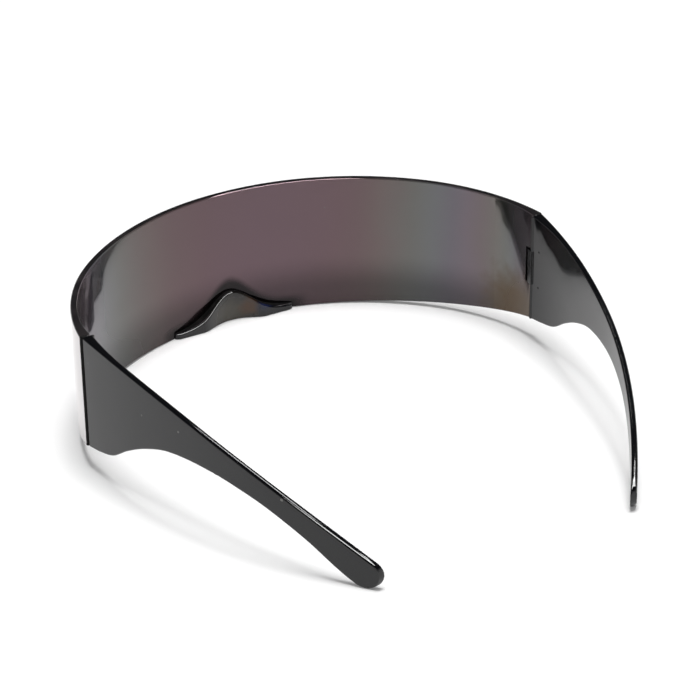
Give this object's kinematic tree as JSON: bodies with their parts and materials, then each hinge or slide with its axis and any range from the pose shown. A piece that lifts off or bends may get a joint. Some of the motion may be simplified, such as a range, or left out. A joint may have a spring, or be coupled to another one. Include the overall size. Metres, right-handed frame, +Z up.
{
  "type": "shield sunglasses",
  "caption": "Wraparound visor sunglasses with one mirrored curved lens, a moulded nose bridge and two black folding temples.",
  "frame": {"origin": "on the table under the middle of the lens wall", "axes": "+Z up, the lens faces -Y, the wearer's left is +X"},
  "size_m": [0.15, 0.1559, 0.0428],
  "materials": {
    "mirrored_lens": "smoke-tinted polycarbonate, silver mirror outside, purple-brown half mirror inside",
    "black_bridge": "moulded, high gloss",
    "black_temple": "moulded, high gloss",
    "pin_steel": "drawn wire"
  },
  "bodies": {
    "lens_front": {"shield_lens": "mirrored_lens", "nose_bridge": "black_bridge", "left_hinge_pin": "pin_steel", "right_hinge_pin": "pin_steel"},
    "left_arm": {"left_temple": "black_temple"},
    "right_arm": {"right_temple": "black_temple"}
  },
  "joints": [
    {"name": "left_temple_fold", "type": "hinge", "parent": "lens_front", "child": "left_arm", "pos_m": [0.07251, 0.05788, 0.02455], "axis": [0, 0, 1], "range_deg": [-16.2, 73.8]},
    {"name": "right_temple_fold", "type": "hinge", "parent": "lens_front", "child": "right_arm", "pos_m": [-0.07251, 0.05788, 0.02455], "axis": [0, 0, -1], "range_deg": [-12.4, 69.6]}
  ]
}
